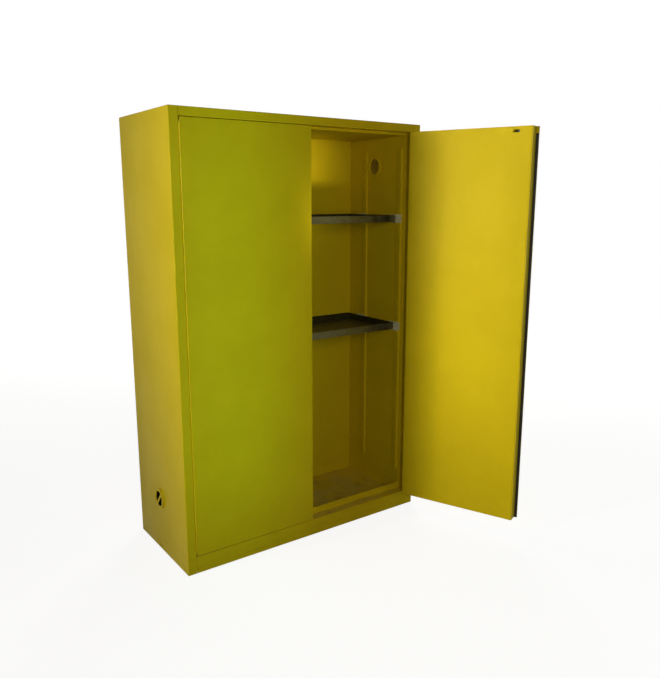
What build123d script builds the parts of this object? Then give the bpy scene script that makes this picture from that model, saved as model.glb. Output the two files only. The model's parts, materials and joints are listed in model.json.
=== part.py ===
"""Two-door storage cabinet of double-wall sheet steel for flammable liquids.

Millimetres, +Z up. The origin is the centre of the footprint on the floor, the front faces -Y.
The left door is shut and the right door stands open, which is the rest position of every joint.
"""
import os
from math import cos, radians, sin

from build123d import *

# Overall size
WIDTH = 1092.0
DEPTH = 457.0
HEIGHT = 1651.0

# Sheet steel and the air gap of the double walls
SHEET = 1.5
AIR_GAP = 38.0
BEND = 3.0
JAMB_BEND = 2.0
EDGE_ROUND = 1.2
WALL = AIR_GAP + 2 * SHEET

# Door frame: widths of its members as seen from the front
STILE = 34.0
TOP_RAIL = 31.0
BOTTOM_RAIL = 66.0
STOP_GAP = 1.0

# Doors
DOOR_GAP = 2.0
DOOR_LIP = 10.0
DOOR_BORDER = 4.0
DOOR_OPEN = 112.0
LEFT_EDGE = 8.5
STEP_WIDTH = 9.5
LIP_GAP = 2.0
EDGE_GAP = 4.0
STRIP_SEAT = 20.0

# Seal behind the overlap strip of the right door
SEAL = 2.0
SEAL_TOP_GAP = 25.0
SEAL_EDGE_GAP = 1.0
SEAL_CLEARANCE = 1.0

# Full-height hinges
KNUCKLE_R = 3.2
PIN_R = 1.6
PIN_CLEARANCE = 0.08
LEAF = 1.0
LEAF_CLEARANCE = 2.0
LEAF_DEPTH = 18.0
HINGE_END = 15.0
KNUCKLES = 20
KNUCKLE_GAP = 0.4

# Sump tray at the bottom of the inner box
SUMP_DEPTH = 51.0
SUMP_HEM = 7.0

# Shelf standards and their slots
STANDARD_WIDTH = 22.0
STANDARD_DEPTH = 9.0
STANDARD_FRONT_IN = 22.5
STANDARD_VENT_GAP = 5.0
STANDARD_FOOT = 60.0
STANDARD_HEAD = 50.0
SLOT_WIDTH = 4.0
SLOT_HEIGHT = 14.0
SLOT_PITCH = 42.0

# Shelves and their clips
SHELF_SLOTS = {"lower": 15, "upper": 26}
SHELF_LIP = 29.0
SHELF_HEM = 6.0
SHELF_FRONT_IN = 38.5
SHELF_BACK_GAP = 4.0
SHELF_SIDE_GAP = 1.5
SHELF_CORNER = 5.0
CLIP_AHEAD = 19.0
CLIP_BEHIND = 51.0
CLIP_HEIGHT = 32.0
CLIP_LEDGE = 16.0
CLIP_HOOK = 3.0
CLIP_HOOK_GAP = 0.5

# Vents through the side walls
VENT_Y = 12.0
VENT_RISE = 126.0
VENT_DROP = 117.0
VENT_BORE_R = 33.0
VENT_PIPE = 3.0
VENT_FLANGE_R = 43.0
VENT_FLANGE = 3.0
FLANGE_ROUND = 1.5
RING_R = 42.0
RING = 5.0
RING_CHAMFER = 1.2
ARRESTER = 2.0
ARRESTER_HOLE_R = 3.0
ARRESTER_PITCH = 9.4
ARRESTER_ROWS = 5

# Vent bungs
BUNG_CLEARANCE = 0.3
BUNG_LENGTH = 30.0
BUNG_RIM_R = 39.0
BUNG_RIM = 4.0
RIM_ROUND = 1.3
BUNG_FLOOR = 2.0
BUNG_WALL = 2.5
BAR_WIDTH = 10.0
BAR_SUNK = 2.0
BAR_ANGLE = 50.0

# Latch in the right door
SPINDLE_IN = 84.0
SPINDLE_Z = 880.0
SPINDLE_R = 6.0
SPINDLE_CLEARANCE = 0.08
CRANK = 14.0
CRANK_START = 45.0
CRANK_PIN_R = 3.0
CAM_R = 20.0
CAM = 3.0
CAM_DEPTH = 13.0
ROD_WIDTH = 14.0
ROD = 4.0
ROD_PLAY = 0.5
ROD_END_GAP = 2.0
YOKE_WIDTH = 22.0
YOKE_HEIGHT = 16.0
YOKE_PLAY = 0.7
GUIDE_WIDTH = 30.0
GUIDE_HEIGHT = 14.0
GUIDE_COVER = 3.0
GUIDE_REACH = 380.0
BOLT_WINDOW = 25.0
BOLT_WINDOW_HEIGHT = 10.0
BOLT_WINDOW_DROP = 17.0
BOLT_SLOT_GAP = 1.5

# Handle and key cylinder on the outer face of the right door
ROSE_WIDTH = 58.0
ROSE_HEIGHT = 150.0
ROSE_RISE = 25.0
ROSE = 3.0
ROSE_CORNER = 10.0
ROSE_CHAMFER = 1.0
HANDLE_GAP = 0.5
BOSS_R = 15.0
BOSS = 34.0
LEVER_LENGTH = 118.0
LEVER_TIP_R = 9.0
LEVER = 11.0
LEVER_ROUND = 2.8
KEY_R = 9.0
KEY_CLEARANCE = 0.08
KEY_RISE = 55.0
KEY_PROUD = 4.0
KEY_CHAMFER = 1.0
KEY_DEPTH = 12.0
KEY_SLOT_WIDTH = 2.0
KEY_SLOT_HEIGHT = 9.0
KEY_SLOT_DEPTH = 8.0

# Planes of the outer box
SIDE = WIDTH / 2
FRONT = -DEPTH / 2
BACK = DEPTH / 2
ROOF = HEIGHT - SHEET

# Planes of the inner box
INNER_SIDE = SIDE - WALL
INNER_BACK = BACK - WALL
INNER_TOP = HEIGHT - WALL
INNER_BOTTOM = WALL

# Planes of the door opening and of the doors in it
OPENING_SIDE = SIDE - STILE
OPENING_TOP = HEIGHT - TOP_RAIL
OPENING_BOTTOM = BOTTOM_RAIL
HINGE_GAP = 2 * LEAF + LEAF_CLEARANCE
DOOR_SIDE = OPENING_SIDE - HINGE_GAP
DOOR_TOP = OPENING_TOP - DOOR_GAP
DOOR_BOTTOM = OPENING_BOTTOM + DOOR_GAP
PAN_BACK = FRONT + 2 * SHEET + AIR_GAP
DOOR_BACK = PAN_BACK + SHEET
STOP = DOOR_BACK + STOP_GAP
INNER_FRONT = STOP + SHEET

# Meeting edges of the doors
STEP_X = LEFT_EDGE - STEP_WIDTH
STEP_Y = FRONT + SEAL + SEAL_CLEARANCE
LIP_X = STEP_X + LIP_GAP
RIGHT_EDGE = LEFT_EDGE + EDGE_GAP

# Hinge axes
HINGE_X = OPENING_SIDE - HINGE_GAP / 2
HINGE_Y = FRONT - KNUCKLE_R - KNUCKLE_GAP
HINGE_BOTTOM = DOOR_BOTTOM + HINGE_END
HINGE_TOP = DOOR_TOP - HINGE_END
KNUCKLE = (HINGE_TOP - HINGE_BOTTOM) / KNUCKLES

# Sump and shelves
SUMP_TOP = INNER_BOTTOM + SUMP_DEPTH
STANDARD_BOTTOM = SUMP_TOP + STANDARD_FOOT
STANDARD_TOP = INNER_TOP - STANDARD_HEAD
STANDARD_FACE = INNER_SIDE - STANDARD_DEPTH
STANDARD_Y = {
    "front": INNER_FRONT + STANDARD_FRONT_IN,
    "rear": VENT_Y + RING_R + STANDARD_VENT_GAP + STANDARD_WIDTH / 2,
}
CLIP_FACE = STANDARD_FACE - SHEET
SHELF_SIDE = CLIP_FACE - SHELF_SIDE_GAP
SHELF_FRONT_Y = INNER_FRONT + SHELF_FRONT_IN
SHELF_BACK_Y = INNER_BACK - SHELF_BACK_GAP
SLOT_COUNT = int((STANDARD_TOP - STANDARD_BOTTOM) // SLOT_PITCH)

# Latch positions in the shut door
SPINDLE_X = LIP_X + SPINDLE_IN
CAM_Y = FRONT + SHEET + CAM_DEPTH
ROD_Y = CAM_Y + CAM + ROD_PLAY
ROD_MID = CRANK * (1 + cos(radians(CRANK_START))) / 2
ROD_X = {"upper": SPINDLE_X - ROD_MID, "lower": SPINDLE_X + ROD_MID}
KEY_Z = SPINDLE_Z + KEY_RISE

# The frame of the cabinet and of the shut left door, and the same frame swung with the right door
STILL = Plane.XY
SWUNG = Plane(Pos(HINGE_X, HINGE_Y) * Rot(0, 0, DOOR_OPEN) * Pos(-HINGE_X, -HINGE_Y))


def front_plane(frame, y):
    """Upright plane of a frame at depth y, looking out of the front, with x and z as its own axes."""
    return Plane(frame.from_local_coords(Vector(0, y, 0)), x_dir=frame.x_dir, z_dir=-frame.y_dir)


def side_plane(side, x):
    """Upright plane on the left (-1) or right (1) of the cabinet, looking outward."""
    return Plane((side * x, 0, 0), x_dir=(0, side, 0), z_dir=(side, 0, 0))


def slab(frame, x_range, y_range, z_range, mode=Mode.ADD):
    """A straight piece of sheet between six faces of a frame."""
    with BuildSketch(frame.offset(z_range[0])) as face:
        with Locations(((x_range[0] + x_range[1]) / 2, (y_range[0] + y_range[1]) / 2)):
            Rectangle(abs(x_range[1] - x_range[0]), y_range[1] - y_range[0])
    extrude(face.sketch, amount=z_range[1] - z_range[0], mode=mode)


def outline(frame, points, z_range, bends):
    """A bent sheet: its section drawn through points, with (point, radius) bends, run along z."""
    with BuildSketch(frame.offset(z_range[0])) as section:
        with BuildLine():
            Polyline(points, close=True)
        make_face()
        for point, radius in bends:
            fillet(section.vertices().sort_by_distance(frame.from_local_coords(
                Vector(*point, z_range[0])))[0], radius)
    extrude(section.sketch, amount=z_range[1] - z_range[0])


def disc(plane, centre, radius, depth, mode=Mode.ADD):
    """A round piece on a plane, running out of it by depth (or into it when depth is negative)."""
    with BuildSketch(plane) as face:
        with Locations(centre):
            Circle(radius)
    extrude(face.sketch, amount=depth, mode=mode)


def save(builder, name):
    """Labels one finished piece and writes it under its node's name."""
    builder.part.label = name
    export_step(builder.part, f"parts/{name}.step")


os.makedirs("parts", exist_ok=True)
SIDES = {"left": -1, "right": 1}
VENTS = {"lower": (-1, SUMP_TOP + VENT_RISE), "upper": (1, INNER_TOP - VENT_DROP)}
PIPE_R = VENT_BORE_R + VENT_PIPE


# Outer walls: each side sheet carries its stile, the return beside the door and the door stop
for name, side in SIDES.items():
    vent_z = [z for vent_side, z in VENTS.values() if vent_side == side]
    with BuildPart() as side_sheet:
        corner = (side * SIDE, FRONT)
        corner_in = (side * (SIDE - SHEET), FRONT + SHEET)
        jamb = (side * OPENING_SIDE, FRONT)
        jamb_in = (side * (OPENING_SIDE + SHEET), FRONT + SHEET)
        stop = (side * OPENING_SIDE, STOP)
        stop_in = (side * (OPENING_SIDE + SHEET), INNER_FRONT)
        outline(
            STILL,
            [(side * SIDE, BACK), corner, jamb, stop, (side * INNER_SIDE, STOP),
             (side * INNER_SIDE, INNER_FRONT), stop_in, jamb_in, corner_in, (side * (SIDE - SHEET), BACK)],
            (0, ROOF),
            [(corner, BEND), (corner_in, BEND - SHEET), (jamb, JAMB_BEND), (stop_in, JAMB_BEND)],
        )
        for z in vent_z:
            disc(side_plane(side, SIDE), (side * VENT_Y, z), PIPE_R, -2 * SHEET, Mode.SUBTRACT)
    save(side_sheet, f"side_{name}")

with BuildPart() as back_sheet:
    slab(STILL, (-SIDE + SHEET, SIDE - SHEET), (BACK - SHEET, BACK), (0, ROOF))
save(back_sheet, "back_sheet")

with BuildPart() as top_sheet:
    slab(STILL, (-SIDE, SIDE), (FRONT, BACK), (ROOF, HEIGHT))
    fillet(top_sheet.edges().filter_by(Axis.Z), BEND)
    fillet(top_sheet.faces().sort_by(Axis.Z)[-1].edges(), EDGE_ROUND)
save(top_sheet, "top_sheet")

with BuildPart() as base_sheet:
    slab(STILL, (-SIDE + SHEET, SIDE - SHEET), (INNER_FRONT, BACK - SHEET), (0, SHEET))
    slab(STILL, (-INNER_SIDE, INNER_SIDE), (FRONT + SHEET, INNER_FRONT), (0, SHEET))
save(base_sheet, "base_sheet")


# Rails of the door frame, drawn as sections in the YZ plane and run across the opening
def rail(points, half_width):
    with BuildSketch(Plane.YZ.offset(-half_width)) as section:
        with BuildLine():
            Polyline(points, close=True)
        make_face()
    extrude(section.sketch, amount=2 * half_width)


def bolt_slot(frame, rod_x, z_range, gap):
    """Slot through a flat return for the bolt end of a latch rod."""
    slab(
        frame,
        (rod_x - ROD_WIDTH / 2 - gap, rod_x + ROD_WIDTH / 2 + gap),
        (ROD_Y - gap, ROD_Y + ROD + gap),
        z_range,
        Mode.SUBTRACT,
    )


with BuildPart() as top_rail:
    rail(
        [(FRONT, ROOF), (FRONT, OPENING_TOP), (STOP, OPENING_TOP), (STOP, OPENING_TOP + SHEET),
         (FRONT + SHEET, OPENING_TOP + SHEET), (FRONT + SHEET, ROOF)],
        OPENING_SIDE,
    )
    slab(STILL, (-INNER_SIDE, INNER_SIDE), (STOP, INNER_FRONT), (INNER_TOP, OPENING_TOP + SHEET))
    bolt_slot(STILL, ROD_X["upper"], (OPENING_TOP, OPENING_TOP + SHEET), BOLT_SLOT_GAP)
save(top_rail, "top_rail")

with BuildPart() as bottom_rail:
    rail(
        [(FRONT, 0), (FRONT, OPENING_BOTTOM), (STOP, OPENING_BOTTOM), (STOP, OPENING_BOTTOM - SHEET),
         (FRONT + SHEET, OPENING_BOTTOM - SHEET), (FRONT + SHEET, 0)],
        OPENING_SIDE,
    )
    bolt_slot(STILL, ROD_X["lower"], (OPENING_BOTTOM - SHEET, OPENING_BOTTOM), BOLT_SLOT_GAP)
save(bottom_rail, "bottom_rail")


# Inner walls
for name, side in SIDES.items():
    vent_z = [z for vent_side, z in VENTS.values() if vent_side == side]
    with BuildPart() as liner_side:
        slab(
            STILL,
            sorted((side * INNER_SIDE, side * (INNER_SIDE + SHEET))),
            (INNER_FRONT, INNER_BACK),
            (INNER_BOTTOM, INNER_TOP),
        )
        for z in vent_z:
            disc(side_plane(side, INNER_SIDE + SHEET), (side * VENT_Y, z), PIPE_R, -2 * SHEET, Mode.SUBTRACT)
    save(liner_side, f"liner_{name}")

LINER_SPAN = (-INNER_SIDE - SHEET, INNER_SIDE + SHEET)
with BuildPart() as liner_back:
    slab(STILL, LINER_SPAN, (INNER_BACK, INNER_BACK + SHEET), (INNER_BOTTOM, INNER_TOP + SHEET))
save(liner_back, "liner_back")

with BuildPart() as liner_top:
    slab(STILL, LINER_SPAN, (INNER_FRONT, INNER_BACK), (INNER_TOP, INNER_TOP + SHEET))
save(liner_top, "liner_top")


def tray(builder, x_half, y_range, z_range, hem, corner):
    """A folded tray: floor, four upright lips and a hem turned inward along the front lip."""
    slab(STILL, (-x_half, x_half), y_range, z_range)
    if corner:
        fillet(builder.edges().filter_by(Axis.Z), corner)
    inner_y = (y_range[0] + SHEET, y_range[1] - SHEET)
    slab(STILL, (-x_half + SHEET, x_half - SHEET), inner_y, (z_range[0] + SHEET, z_range[1]), Mode.SUBTRACT)
    hem_span = x_half - max(SHEET, corner)
    slab(STILL, (-hem_span, hem_span), (y_range[0] + SHEET, y_range[0] + hem), (z_range[1] - SHEET, z_range[1]))


with BuildPart() as sump_tray:
    tray(sump_tray, INNER_SIDE, (STOP, INNER_BACK), (INNER_BOTTOM, SUMP_TOP), SUMP_HEM, 0)
save(sump_tray, "sump_tray")


# Shelf standards: shallow channels with a row of slots
def slot_z(index):
    return STANDARD_BOTTOM + SLOT_PITCH * (index + 0.5)


for side_name, side in SIDES.items():
    for row, y in STANDARD_Y.items():
        with BuildPart() as standard:
            span = (STANDARD_BOTTOM, STANDARD_TOP)
            across = (y - STANDARD_WIDTH / 2, y + STANDARD_WIDTH / 2)
            slab(STILL, sorted((side * INNER_SIDE, side * STANDARD_FACE)), across, span)
            hollow = (across[0] + SHEET, across[1] - SHEET)
            slab(
                STILL,
                sorted((side * INNER_SIDE, side * (STANDARD_FACE + SHEET))),
                hollow,
                span,
                Mode.SUBTRACT,
            )
            with BuildSketch(side_plane(side, STANDARD_FACE)) as slots:
                with Locations([(side * y, slot_z(i)) for i in range(SLOT_COUNT)]):
                    Rectangle(SLOT_WIDTH, SLOT_HEIGHT)
            extrude(slots.sketch, amount=SHEET, mode=Mode.SUBTRACT)
        save(standard, f"standard_{row}_{side_name}")


# Shelves and the clips that carry them, hooked into the slots of the standards
def clip(side, y, floor_z):
    """Upright plate on a standard, a ledge under the shelf and a hook in the slot."""
    along = (y - CLIP_AHEAD, y + CLIP_BEHIND)
    slab(STILL, sorted((side * CLIP_FACE, side * STANDARD_FACE)), along, (floor_z - SHEET, floor_z + CLIP_HEIGHT))
    slab(
        STILL,
        sorted((side * CLIP_FACE, side * (STANDARD_FACE - CLIP_LEDGE))),
        along,
        (floor_z - SHEET, floor_z),
    )
    hook = SLOT_WIDTH / 2 - CLIP_HOOK_GAP
    slab(
        STILL,
        sorted((side * STANDARD_FACE, side * (STANDARD_FACE + CLIP_HOOK))),
        (y - hook, y + hook),
        (floor_z + CLIP_HOOK, floor_z + SLOT_HEIGHT - CLIP_HOOK),
    )


for name, index in SHELF_SLOTS.items():
    floor_z = slot_z(index) - SLOT_HEIGHT / 2
    with BuildPart() as clips:
        for side in SIDES.values():
            for y in STANDARD_Y.values():
                clip(side, y, floor_z)
    save(clips, f"clips_{name}")

    with BuildPart() as shelf:
        depth = (SHELF_FRONT_Y, SHELF_BACK_Y)
        tray(shelf, SHELF_SIDE, depth, (floor_z, floor_z + SHELF_LIP), SHELF_HEM, SHELF_CORNER)
    save(shelf, f"shelf_{name}")


# Vents: a flanged pipe through both walls, a lock ring inside, a pierced plate in the pipe and a bung
for name, (side, z) in VENTS.items():
    centre = (side * VENT_Y, z)
    outside = side_plane(side, SIDE)
    inside = side_plane(side, INNER_SIDE)
    with BuildPart() as vent:
        disc(outside, centre, VENT_FLANGE_R, VENT_FLANGE)
        fillet(vent.faces().sort_by(Axis.X)[0 if side < 0 else -1].edges(), FLANGE_ROUND)
        disc(outside, centre, PIPE_R, -WALL - RING)
        disc(outside.offset(VENT_FLANGE), centre, VENT_BORE_R, -VENT_FLANGE - WALL - RING, Mode.SUBTRACT)
    save(vent, f"vent_{name}")

    with BuildPart() as lock_ring:
        disc(inside, centre, RING_R, -RING)
        chamfer(lock_ring.faces().sort_by(Axis.X)[-1 if side < 0 else 0].edges(), RING_CHAMFER)
        disc(inside, centre, PIPE_R, -RING, Mode.SUBTRACT)
    save(lock_ring, f"vent_ring_{name}")

    with BuildPart() as arrester:
        disc(inside.offset(SHEET), centre, VENT_BORE_R, ARRESTER)
        with BuildSketch(inside.offset(SHEET)) as mesh:
            with Locations(centre):
                with HexLocations(ARRESTER_PITCH / 2, ARRESTER_ROWS, ARRESTER_ROWS):
                    Circle(ARRESTER_HOLE_R)
        extrude(mesh.sketch, amount=ARRESTER, mode=Mode.SUBTRACT)
    save(arrester, f"arrester_{name}")

    rim = outside.offset(VENT_FLANGE)
    bung_r = VENT_BORE_R - BUNG_CLEARANCE
    with BuildPart() as bung:
        disc(rim, centre, BUNG_RIM_R, BUNG_RIM)
        fillet(bung.faces().sort_by(Axis.X)[0 if side < 0 else -1].edges(), RIM_ROUND)
        disc(rim, centre, bung_r, -BUNG_LENGTH)
        disc(rim.offset(BUNG_RIM), centre, bung_r - BUNG_WALL, BUNG_FLOOR - BUNG_RIM - BUNG_LENGTH, Mode.SUBTRACT)
        with BuildSketch(rim.offset(BUNG_FLOOR - BUNG_LENGTH)) as bar:
            with Locations(Location(centre, BAR_ANGLE)):
                Rectangle(2 * (bung_r - BUNG_WALL / 2), BAR_WIDTH)
        extrude(bar.sketch, amount=BUNG_LENGTH - BUNG_FLOOR + BUNG_RIM - BAR_SUNK)
    save(bung, f"vent_bung_{name}")


# Hinges: leaves in the gap between stile and door, knuckles in turn around one long pin
def hinge_leaf(frame, axis_x, leaf_x, bore_r, first):
    """One leaf with every second knuckle of a full-height hinge."""
    clear_y = HINGE_Y + KNUCKLE_R + KNUCKLE_GAP
    slab(frame, leaf_x, (clear_y, FRONT + LEAF_DEPTH), (HINGE_BOTTOM, HINGE_TOP))
    for index in range(first, KNUCKLES, 2):
        foot = HINGE_BOTTOM + index * KNUCKLE + KNUCKLE_GAP / 2
        with BuildSketch(frame.offset(foot)) as ring:
            with Locations((axis_x, HINGE_Y)):
                Circle(KNUCKLE_R)
            with Locations((sum(leaf_x) / 2, (HINGE_Y + clear_y) / 2)):
                Rectangle(LEAF, clear_y - HINGE_Y)
            with Locations((axis_x, HINGE_Y)):
                Circle(bore_r, mode=Mode.SUBTRACT)
        extrude(ring.sketch, amount=KNUCKLE - KNUCKLE_GAP)


for name, side in SIDES.items():
    axis_x = side * HINGE_X
    with BuildPart() as frame_leaf:
        stile_x = sorted((side * OPENING_SIDE, side * (OPENING_SIDE - LEAF)))
        hinge_leaf(STILL, axis_x, stile_x, PIN_R, 0)
    save(frame_leaf, f"hinge_frame_{name}")

    with BuildPart() as door_leaf:
        edge_x = sorted((side * DOOR_SIDE, side * (DOOR_SIDE + LEAF)))
        hinge_leaf(STILL if side < 0 else SWUNG, axis_x, edge_x, PIN_R + PIN_CLEARANCE, 1)
    save(door_leaf, f"hinge_door_{name}")

    with BuildPart() as pin:
        disc(STILL.offset(HINGE_BOTTOM), (axis_x, HINGE_Y), PIN_R, HINGE_TOP - HINGE_BOTTOM)
    save(pin, f"hinge_pin_{name}")


# Doors: a folded pan with a lip all round its back, closed by a flat inner sheet
def inset(span, margin):
    """A span drawn in by a margin at both ends."""
    return (span[0] + margin, span[1] - margin)


def door_pan(frame, x_range):
    """The folded pan of one door, open at the back inside its lip."""
    depth = (FRONT, PAN_BACK)
    height = (DOOR_BOTTOM, DOOR_TOP)
    slab(frame, x_range, depth, height)
    slab(frame, inset(x_range, SHEET), inset(depth, SHEET), inset(height, SHEET), Mode.SUBTRACT)
    slab(frame, inset(x_range, DOOR_LIP), (PAN_BACK - SHEET, PAN_BACK), inset(height, DOOR_LIP), Mode.SUBTRACT)


with BuildPart() as door_left_outer:
    door_pan(STILL, (-DOOR_SIDE, STEP_X))
    fillet(door_left_outer.faces().sort_by(Axis.Y)[0].edges(), EDGE_ROUND)
save(door_left_outer, "door_left_outer")

with BuildPart() as door_left_flange:
    slab(STILL, (STEP_X, LEFT_EDGE), (STEP_Y, PAN_BACK), (DOOR_BOTTOM, DOOR_TOP))
    fillet(door_left_flange.edges().filter_by(Axis.Z).group_by(Axis.X)[-1], EDGE_ROUND)
    slab(
        STILL,
        (STEP_X, LEFT_EDGE - SHEET),
        (STEP_Y + SHEET, PAN_BACK - SHEET),
        (DOOR_BOTTOM, DOOR_TOP),
        Mode.SUBTRACT,
    )
save(door_left_flange, "door_left_flange")

with BuildPart() as door_left_inner:
    slab(
        STILL,
        inset((-DOOR_SIDE, LEFT_EDGE), DOOR_BORDER),
        (PAN_BACK, DOOR_BACK),
        inset((DOOR_BOTTOM, DOOR_TOP), DOOR_BORDER),
    )
save(door_left_inner, "door_left_inner")

FACE = front_plane(SWUNG, FRONT)
with BuildPart() as door_right_outer:
    door_pan(SWUNG, (RIGHT_EDGE, DOOR_SIDE))
    fillet(door_right_outer.faces().sort_by(Axis(FACE.origin, FACE.z_dir))[-1].edges(), EDGE_ROUND)
    disc(FACE, (SPINDLE_X, SPINDLE_Z), SPINDLE_R + SPINDLE_CLEARANCE, -2 * SHEET, Mode.SUBTRACT)
    disc(FACE, (SPINDLE_X, KEY_Z), KEY_R + KEY_CLEARANCE, -2 * SHEET, Mode.SUBTRACT)
    bolt_slot(SWUNG, ROD_X["upper"], (DOOR_TOP - SHEET, DOOR_TOP), ROD_PLAY)
    bolt_slot(SWUNG, ROD_X["lower"], (DOOR_BOTTOM, DOOR_BOTTOM + SHEET), ROD_PLAY)
save(door_right_outer, "door_right_outer")

with BuildPart() as door_right_strip:
    slab(SWUNG, (LIP_X, RIGHT_EDGE + STRIP_SEAT), (FRONT - SHEET, FRONT), (DOOR_BOTTOM, DOOR_TOP))
save(door_right_strip, "door_right_strip")

with BuildPart() as door_right_inner:
    slab(
        SWUNG,
        inset((RIGHT_EDGE, DOOR_SIDE), DOOR_BORDER),
        (PAN_BACK, DOOR_BACK),
        inset((DOOR_BOTTOM, DOOR_TOP), DOOR_BORDER),
    )
    window_z = DOOR_TOP - BOLT_WINDOW_DROP
    slab(
        SWUNG,
        (ROD_X["upper"] - BOLT_WINDOW / 2, ROD_X["upper"] + BOLT_WINDOW / 2),
        (PAN_BACK, DOOR_BACK),
        (window_z - BOLT_WINDOW_HEIGHT / 2, window_z + BOLT_WINDOW_HEIGHT / 2),
        Mode.SUBTRACT,
    )
save(door_right_inner, "door_right_inner")

with BuildPart() as edge_seal:
    slab(
        SWUNG,
        (LIP_X + SEAL_EDGE_GAP, RIGHT_EDGE),
        (FRONT, FRONT + SEAL),
        (DOOR_BOTTOM, DOOR_TOP - SEAL_TOP_GAP),
    )
save(edge_seal, "edge_seal")


# Latch: a cam with two crank pins, each in the cross slot of one rod
def crank_pin(sign):
    """Centre of the crank pin of the upper (1) or lower (-1) rod, with both rods drawn in."""
    across = CRANK * cos(radians(CRANK_START))
    drop = CRANK * sin(radians(CRANK_START))
    return (SPINDLE_X - sign * across, SPINDLE_Z - sign * drop)


CAM_BACK = front_plane(SWUNG, CAM_Y + CAM)
with BuildPart() as latch_cam:
    disc(CAM_BACK, (SPINDLE_X, SPINDLE_Z), CAM_R, CAM)
    disc(CAM_BACK.offset(CAM), (SPINDLE_X, SPINDLE_Z), SPINDLE_R, CAM_DEPTH + SHEET + ROSE + HANDLE_GAP)
    for sign in (1, -1):
        disc(CAM_BACK, crank_pin(sign), CRANK_PIN_R, -ROD_PLAY - ROD)
save(latch_cam, "latch_cam")

ROD_FACE = front_plane(SWUNG, ROD_Y + ROD)
ROD_ENDS = {"upper": (1, DOOR_TOP - ROD_END_GAP), "lower": (-1, DOOR_BOTTOM + ROD_END_GAP)}
for name, (sign, end_z) in ROD_ENDS.items():
    yoke_z = crank_pin(sign)[1]
    rod_x = ROD_X[name]
    with BuildPart() as rod:
        with BuildSketch(ROD_FACE) as shape:
            with Locations((rod_x, (yoke_z + end_z) / 2)):
                Rectangle(ROD_WIDTH, abs(end_z - yoke_z))
            with Locations((rod_x, yoke_z)):
                Rectangle(YOKE_WIDTH, YOKE_HEIGHT)
                travel = CRANK * (1 - cos(radians(CRANK_START)))
                pin_slot = 2 * (CRANK_PIN_R + YOKE_PLAY)
                Rectangle(pin_slot + travel, pin_slot, mode=Mode.SUBTRACT)
        extrude(shape.sketch, amount=ROD)
    save(rod, f"rod_{name}")

with BuildPart() as rod_guides:
    for name, (sign, end_z) in ROD_ENDS.items():
        guide_z = SPINDLE_Z + sign * GUIDE_REACH
        slab(
            SWUNG,
            (ROD_X[name] - GUIDE_WIDTH / 2, ROD_X[name] + GUIDE_WIDTH / 2),
            (FRONT + SHEET, ROD_Y + ROD + ROD_PLAY + GUIDE_COVER),
            (guide_z - GUIDE_HEIGHT / 2, guide_z + GUIDE_HEIGHT / 2),
        )
        bolt_slot(SWUNG, ROD_X[name], (guide_z - GUIDE_HEIGHT / 2, guide_z + GUIDE_HEIGHT / 2), ROD_PLAY)
save(rod_guides, "rod_guides")


# Handle and key cylinder
with BuildPart() as handle_rose:
    with BuildSketch(FACE) as plate:
        with Locations((SPINDLE_X, SPINDLE_Z + ROSE_RISE)):
            RectangleRounded(ROSE_WIDTH, ROSE_HEIGHT, ROSE_CORNER)
        with Locations((SPINDLE_X, SPINDLE_Z)):
            Circle(SPINDLE_R + SPINDLE_CLEARANCE, mode=Mode.SUBTRACT)
        with Locations((SPINDLE_X, KEY_Z)):
            Circle(KEY_R + KEY_CLEARANCE, mode=Mode.SUBTRACT)
    extrude(plate.sketch, amount=ROSE)
    chamfer(handle_rose.faces().sort_by(Axis(FACE.origin, FACE.z_dir))[-1].outer_wire().edges(), ROSE_CHAMFER)
save(handle_rose, "handle_rose")

GRIP = FACE.offset(ROSE + HANDLE_GAP)
with BuildPart() as handle:
    disc(GRIP, (SPINDLE_X, SPINDLE_Z), BOSS_R, BOSS - LEVER)
    with BuildSketch(GRIP.offset(BOSS - LEVER)) as lever:
        with Locations((SPINDLE_X, SPINDLE_Z)):
            Circle(BOSS_R)
        with Locations((SPINDLE_X + LEVER_LENGTH, SPINDLE_Z)):
            Circle(LEVER_TIP_R)
        make_hull()
    extrude(lever.sketch, amount=LEVER)
    fillet(handle.faces().sort_by(Axis(GRIP.origin, GRIP.z_dir))[-1].edges(), LEVER_ROUND)
save(handle, "handle")

with BuildPart() as key_cylinder:
    front = FACE.offset(ROSE + KEY_PROUD)
    disc(front, (SPINDLE_X, KEY_Z), KEY_R, -KEY_PROUD - ROSE - KEY_DEPTH)
    chamfer(key_cylinder.faces().sort_by(Axis(front.origin, front.z_dir))[-1].edges(), KEY_CHAMFER)
    with BuildSketch(front) as keyway:
        with Locations((SPINDLE_X, KEY_Z)):
            Rectangle(KEY_SLOT_WIDTH, KEY_SLOT_HEIGHT)
    extrude(keyway.sketch, amount=-KEY_SLOT_DEPTH, mode=Mode.SUBTRACT)
save(key_cylinder, "key_cylinder")
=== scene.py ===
"""Looks of a fire-resistant storage cabinet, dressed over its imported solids.

Laid out as an add-on and run as a script. Metres, +Z up, the doors face -Y, the right door stands open.
"""
import json
import math
from typing import NamedTuple

import bmesh
import bpy
from mathutils import Matrix, Vector

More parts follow.
